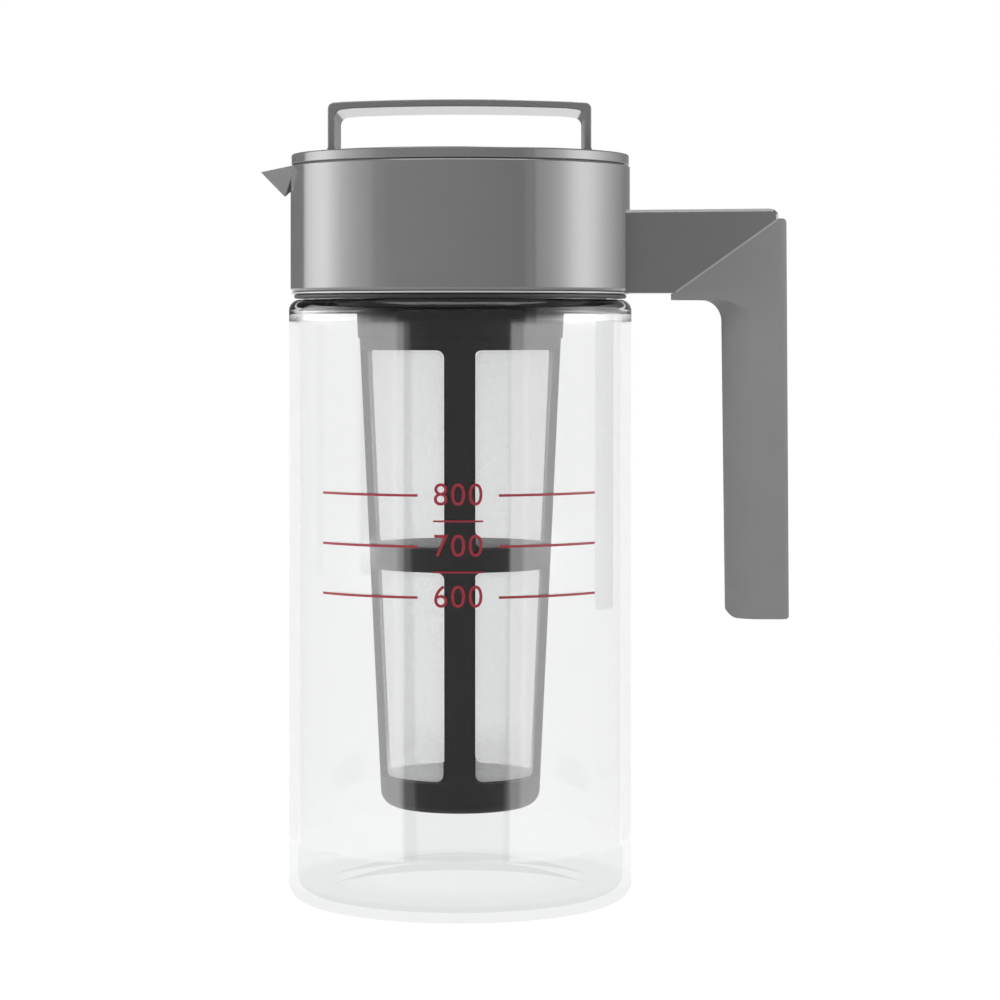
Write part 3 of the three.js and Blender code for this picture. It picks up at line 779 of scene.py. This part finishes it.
plug = turned(
    "lid_insert",
    [
        (0, DECK_LOW, 0),
        (PLUG_BORE, DECK_LOW, 0.4),
        (PLUG_BORE, 172, 0.3),
        (PLUG_BOSS, 172, 0.3),
        (PLUG_BOSS, DECK_LOW, 0.4),
        (39.8, DECK_LOW, 0.4),
        (39.8, 183, 0.4),
        (42.2, 183, 0.4),
        (42.2, 186, 0.2),
        (41, 186, 0.2),
        (41, 189.2, 0.2),
        (42.2, 189.2, 0.2),
        (42.2, DECK_LOW, 0.4),
        (47.2, DECK_LOW, 0.3),
        (47.2, DECK_TOP, 0.3),
        (0, DECK_TOP, 0),
    ],
)
lug_corners = [(41.7, 207.7, 0), (46.2, 207.7, 0.3), (46.2, 209.3, 0.3), (41.7, 209.3, 0)]
thread_corners = [(27.1, 174.5, 0), (28.1, 174.8, 0), (28.1, 175.6, 0), (27.1, 175.9, 0)]
lugs = three_round("lug", lug_corners, 8, 14, math.radians(36))
combined(plug, "UNION", *lugs, *three_round("thread", thread_corners, THREAD_STEPS, THREAD_SWEEP))
pour_slots = []
for i in range(5):
    pour_slot = block(f"pour_slot_{i}", (-48.2, -1.5, 206.2), (-33.8, 1.5, 211.6))
    pour_slots.append(turn_about_axis(pour_slot, math.radians(SLOT_SPACING * (i - 2))))
combined(plug, "DIFFERENCE", *pour_slots, *strap_slots())
finished(plug, "lid", INNER_GREY, "inner_grey", "lid_plug")

lid_seal = turned(
    "lid_seal_ring", [(41.3, 186.3, 0), *arc((41.4, 187.6), 1.3, -90, 90, steps=14), (41.3, 188.9, 0)]
)
finished(lid_seal, "lid_seal", DARK_RUBBER, "dark_rubber", "lid_gasket")


STRAP_WIDTH = 37.8  # from the jug's axis to each side
OUTER_BEND, OUTER_RADIUS = (35.9, 228.5), 1.9
INNER_BEND, INNER_RADIUS = (33.4, 226), 2.4
TOP_THICKNESS = 2


def strap_top(across):
    """The height of the strap's slightly crowned top."""
    return 230.4 + 0.9 * (1 - (across / STRAP_WIDTH) ** 2)


from_right = [1 - i / 12 for i in range(1, 24)]
outer_top = [(OUTER_BEND[0] * share, strap_top(OUTER_BEND[0] * share), 0) for share in from_right]
inner_top = [(-INNER_BEND[0] * share, strap_top(INNER_BEND[0] * share) - TOP_THICKNESS, 0) for share in from_right]
strap = profiled(
    "strap",
    rounded(
        [
            (35, 216.3, 0),
            (38.3, 216.3, 0),
            (STRAP_WIDTH, 217.6, 0),
            *arc(OUTER_BEND, OUTER_RADIUS, 0, 90),
            *outer_top,
            *arc((-OUTER_BEND[0], OUTER_BEND[1]), OUTER_RADIUS, 90, 180),
            (-STRAP_WIDTH, 217.6, 0),
            (-38.3, 216.3, 0),
            (-35, 216.3, 0),
            (-35.8, 217.6, 0),
            *arc((-INNER_BEND[0], INNER_BEND[1]), INNER_RADIUS, 180, 90),
            *inner_top,
            *arc(INNER_BEND, INNER_RADIUS, 90, 0),
            (35.8, 217.6, 0),
        ]
    ),
    STRAP_HALF,
)
softened(strap, 0.4, segments=3, angle=60)
tang_points = [(35.8, 216.8), (35.8, 212), (34.9, 212), (35.8, 210.6), (37.8, 210.6), (37.8, 216.8)]
tangs = [profiled(f"strap_tang_{side}", [(side * across, up) for across, up in tang_points], 8) for side in (1, -1)]
combined(strap, "UNION", *tangs)
finished(strap, "lid", GLOSS_GREY, "gloss_grey", "lid_handle")


# ---------------------------------------------------------------- filter


basket_ring = turned("basket_ring", [(28.6, 162.8, 0.15), (29.9, 162.8, 0.15), (30.9, 184, 0.5), (28.6, 184, 0.4)])
ring_corners = [(28.1, 180.4, 0), (29.1, 180.1, 0), (29.1, 181.5, 0), (28.1, 181.2, 0)]
ring_threads = three_round("ring_thread", ring_corners, THREAD_STEPS, THREAD_SWEEP, FULL_TURN / 6)
combined(basket_ring, "UNION", *ring_threads)
finished(basket_ring, "filter_top", DARK_PLASTIC, "dark_plastic", "filter_ring")


RIB_HALF = 4.25
WINDOW_CORNER = 2.2
REACH = 36  # past the cage's outer face
PANEL_MARGIN = 0.3
PANEL_OUTSIDE, PANEL_INSIDE = 1.9, 2.4  # how far the panels' two faces lie inside the cage's outer face
CAGE_RADIUS, CAGE_TOP, CAGE_TAPER = 29.4, 162.5, 0.04722


def window_tool(name, low, high, margin):
    """What cuts a window between the ribs at +X and +Y, smaller all round by a margin."""
    near = RIB_HALF + margin
    low, high = low + margin, high - margin
    outline = [(near, low, WINDOW_CORNER), (REACH, low, 0), (REACH, high, 0), (near, high, WINDOW_CORNER)]
    along_depth = profiled(name, rounded(outline), REACH)
    across = turn_about_axis(copied(along_depth, name + "_across"), QUARTER)
    return combined(along_depth, "INTERSECT", across)


WINDOWS = {"upper": (102.8, 159.4), "lower": (35.6, 96.1)}
cage = turned(
    "basket_cage",
    [
        (0, 26.6, 0),
        (22.98, 26.6, 4.6),
        (29.41, 162.74, 0.1),
        (28.2, 162.74, 0),
        (28.2, 165.9, 0.3),
        (26.6, 165.9, 0.3),
        (26.6, 162.5, 0),
        (20.69, 28.6, 2.2),
        (0, 28.6, 0),
    ],
)
cuts = []
for row, (low, high) in WINDOWS.items():
    for quarter in range(4):
        cuts.append(turn_about_axis(window_tool(f"cut_{row}_{quarter}", low, high, 0), quarter * QUARTER))
combined(cage, "DIFFERENCE", *cuts)
finished(cage, "filter", DARK_PLASTIC, "dark_plastic", "filter_cage")


def cage_radius(height):
    """The radius of the cage's tapered outer face."""
    return CAGE_RADIUS - (CAGE_TOP - height) * CAGE_TAPER


for row, (low, high) in WINDOWS.items():
    panel = turned(
        f"mesh_panel_{row}_1",
        [
            (cage_radius(low) - PANEL_INSIDE, low, 0),
            (cage_radius(low) - PANEL_OUTSIDE, low, 0),
            (cage_radius(high) - PANEL_OUTSIDE, high, 0),
            (cage_radius(high) - PANEL_INSIDE, high, 0),
        ],
    )
    combined(panel, "INTERSECT", window_tool("panel_tool", low, high, PANEL_MARGIN))
    for quarter in range(4):
        one = panel if quarter == 0 else copied(panel, f"mesh_panel_{row}_{quarter + 1}")
        turn_about_axis(one, quarter * QUARTER)
        finished(one, "filter", FILTER_MESH, "filter_mesh", f"mesh_{row}_{quarter + 1}")


# ---------------------------------------------------------------- measure scale on the jug


NUMBER_SIZE = 8.8
STRIP, STRIPS_EACH_SIDE = 1.2, 8  # the strips that let a number bend round the wall
PRINT_WELD, PRINT_DEPTH = 0.002 * MM, 0.05 * MM


def scale_line(name, height, start, end, thickness=0.7):
    """A thin printed line round the jug's front, between two angles either side of its middle, in degrees."""
    low, high = height - thickness / 2, height + thickness / 2
    return turned(
        name,
        [(PRINT_FOOT, low, 0), (PRINT_FACE, low, 0), (PRINT_FACE, high, 0), (PRINT_FOOT, high, 0)],
        steps=max(3, round((end - start) / 2)),
        sweep=math.radians(end - start),
        middle=math.radians(-90 + (start + end) / 2),
    )


def scale_number(name, words, height):
    """A printed number, cut into upright strips and laid on the jug's wall."""
    deselect_all()
    bpy.ops.object.text_add(location=(JUG_X, 0, height * MM), rotation=(QUARTER, 0, 0))
    number = bpy.context.object
    number.name = name
    number.data.body = words
    number.data.size = NUMBER_SIZE * MM
    number.data.align_x = "CENTER"
    number.data.align_y = "CENTER"
    number.data.space_character = 1.1
    bpy.ops.object.convert(target="MESH")
    bpy.ops.object.transform_apply(location=False, rotation=True, scale=True)
    bpy.ops.object.mode_set(mode="EDIT")
    bpy.ops.mesh.select_all(action="SELECT")
    bpy.ops.mesh.remove_doubles(threshold=PRINT_WELD)
    for strip in range(-STRIPS_EACH_SIDE, STRIPS_EACH_SIDE + 1):
        bpy.ops.mesh.select_all(action="SELECT")
        bpy.ops.mesh.bisect(plane_co=(JUG_X + strip * STRIP * MM, 0, 0), plane_no=(1, 0, 0))
    bpy.ops.mesh.select_all(action="SELECT")
    bpy.ops.transform.translate(value=(0, -JUG_RADIUS * MM, 0))
    bpy.ops.object.mode_set(mode="OBJECT")
    applied(number, "CAST", cast_type="CYLINDER", factor=1.0, use_z=False, size=PRINT_FACE * MM, radius=0.0)
    applied(number, "SOLIDIFY", thickness=PRINT_DEPTH, offset=-1.0)
    only(number)
    bpy.ops.object.transform_apply(location=True, rotation=False, scale=False)
    return number


LEVELS = {"600": 91.0, "700": 105.1, "800": 119.3}
TICKS = (98.05, 112.2)
LINE_START, LINE_END, TICK_END = 13, 50, 8  # degrees from the jug's front
marks = []
for label, level in LEVELS.items():
    marks.append(scale_number("number_" + label, label, level))
    marks.append(scale_line("line_left_" + label, level, -LINE_END, -LINE_START))
    marks.append(scale_line("line_right_" + label, level, LINE_START, LINE_END))
for level in TICKS:
    marks.append(scale_line(f"tick_{round(level)}", level, -TICK_END, TICK_END, 0.5))
scale = joined("measure_scale", marks)
finished(scale, "jug", SCALE_PRINT, "scale_print")


# ---------------------------------------------------------------- table, world and lamps


TABLE_GLOW, GLOW_SHARE = 1.06, 0.88  # what the camera sees of the table is mostly even light
WORLD_LIGHT, WORLD_SEEN, WORLD_MIRRORED = 0.6, 0.4, 0.45

deselect_all()
bpy.ops.mesh.primitive_plane_add(size=8, location=(0, 0, -0.0002))
table = bpy.context.object
table.name = "table"
make = new_finish("table")
seen, through = make.ray("Camera"), make.ray("Transmission")
pale = make.node("BsdfDiffuse", sockets={"Color": grey(0.92)})
bright = make.node("Emission", sockets={"Color": WHITE, "Strength": TABLE_GLOW})
shown = make.node("MixShader", sockets={0: GLOW_SHARE, 1: pale, 2: bright})
make.surface(make.node("MixShader", sockets={0: seen.maths("MAXIMUM", seen, through), 1: pale, 2: shown}))
table.data.materials.append(make.owner)
table.visible_glossy = False

world = bpy.data.worlds.new("studio")
bpy.context.scene.world = world
make = Finish(world)
seen, through, mirrored = make.ray("Camera"), make.ray("Transmission"), make.ray("Glossy")
brighter = WORLD_SEEN * seen.maths("MAXIMUM", seen, through)
level = WORLD_LIGHT + brighter - WORLD_MIRRORED * mirrored * (1.0 - through)
make.surface(make.node("Background", sockets={"Color": WHITE, "Strength": level}), "OutputWorld")


def lamp(name, place_at, target, power, size):
    """A soft square lamp that lights the pieces but isn't mirrored in them or seen through the jug."""
    light = bpy.data.lights.new(name, "AREA")
    light.energy, light.shape, light.size = power, "SQUARE", size
    holder = bpy.data.objects.new(name, light)
    bpy.context.scene.collection.objects.link(holder)
    holder.location = place_at
    holder.rotation_euler = (Vector(target) - Vector(place_at)).to_track_quat("-Z", "Y").to_euler()
    holder.visible_glossy = holder.visible_transmission = False


lamp("key", (-0.5, -1.7, 1.4), (-0.01, 0, 0.12), 11.5, 1.2)
lamp("left", (-1.5, -0.7, 0.18), (-0.01, 0, 0.14), 12, 0.32)
lamp("right", (1.5, -0.6, 0.38), (-0.01, 0, 0.14), 7, 0.7)

MIRROR_RADIUS = 1.3
CARD_JOIN = 0.125
CEILING = 1.5


def only_mirrored(piece):
    """Makes a light surface that only gloss shows."""
    piece.visible_camera = piece.visible_diffuse = piece.visible_transmission = piece.visible_shadow = False


def card(name, low, high, levels):
    """A tall curved reflector. Its light follows the angle round the object, in degrees from the front."""
    deselect_all()
    bpy.ops.mesh.primitive_cylinder_add(
        vertices=96,
        radius=MIRROR_RADIUS,
        depth=high - low,
        end_fill_type="NOTHING",
        location=(JUG_X, 0, (low + high) / 2),
    )
    wall = bpy.context.object
    wall.name = name
    bpy.ops.object.transform_apply(location=True, rotation=False, scale=False)
    peak = max(level for _, level in levels)
    make = new_finish(name)
    x, y, _ = make.axes()
    side = make.node("Math", {"operation": "ARCTAN2"}, {0: x - JUG_X, 1: 0.0 - y})
    turn = side / FULL_TURN + 0.5
    stops = [((azimuth + 180) / 360, level / peak) for azimuth, level in levels]
    light = make.node("ValToRGB", {"stops": stops}, {0: turn})
    make.surface(make.node("Emission", sockets={"Color": light, "Strength": peak}))
    wall.data.materials.append(make.owner)
    only_mirrored(wall)


def panel_light(name, low, high, height, strength):
    """A level light panel between two corners."""
    deselect_all()
    bpy.ops.mesh.primitive_plane_add(size=1, location=((low[0] + high[0]) / 2, (low[1] + high[1]) / 2, height))
    sheet = bpy.context.object
    sheet.name = name
    sheet.scale = (high[0] - low[0], high[1] - low[1], 1)
    bpy.ops.object.transform_apply(location=True, rotation=False, scale=True)
    make = new_finish(name)
    make.surface(make.node("Emission", sockets={"Color": WHITE, "Strength": strength}))
    sheet.data.materials.append(make.owner)
    only_mirrored(sheet)


card("mirror_above", 0.17, 0.75, [
    (-180, 0.2), (-130.5, 0.1), (-125.5, 2.6), (-118.6, 4.0), (-110.7, 5.7), (-103.6, 6.9), (-98, 7.0), (-91, 5.8),
    (-85, 4.5), (-75, 3.0), (-65, 1.8), (-60.4, 1.3), (-57, 0.45), (-50, 0.45), (-49, 0.03), (43, 0.03), (45, 0.7),
    (51, 0.76), (52, 2.0), (62, 3.1), (71.6, 5.1), (76.6, 6.85), (82, 8.4), (88, 9.0), (93, 8.5), (99, 7.1),
    (105.6, 5.2), (112.7, 3.4), (121, 2.1), (130, 1.15), (142, 0.5), (150, 0.35),
])
DARK_IN_FRONT = [
    (-180, 1.0), (-37.3, 1.15), (-35.3, 0.4), (-29, 0.35), (-18, 0.08), (10, 0.08), (24, 0.3), (31.7, 0.45),
    (33.7, 1.15), (180, 1.0),
]
card("mirror_below", -0.9, CARD_JOIN, DARK_IN_FRONT)
card("mirror_level", CARD_JOIN, 0.169, DARK_IN_FRONT)
panel_light("overhead", (-0.8, -0.9), (0.8, 0.24), CEILING, 5.2)
panel_light("behind", (0.02, 0.26), (0.28, 1.9), CEILING, 8.0)
panel_light("underneath", (-1.2, -1.2), (1.2, 1.2), -0.3, 1.3)

view = bpy.context.scene.view_settings
view.view_transform = "Standard"
bpy.context.scene.cycles.transparent_max_bounces = 32
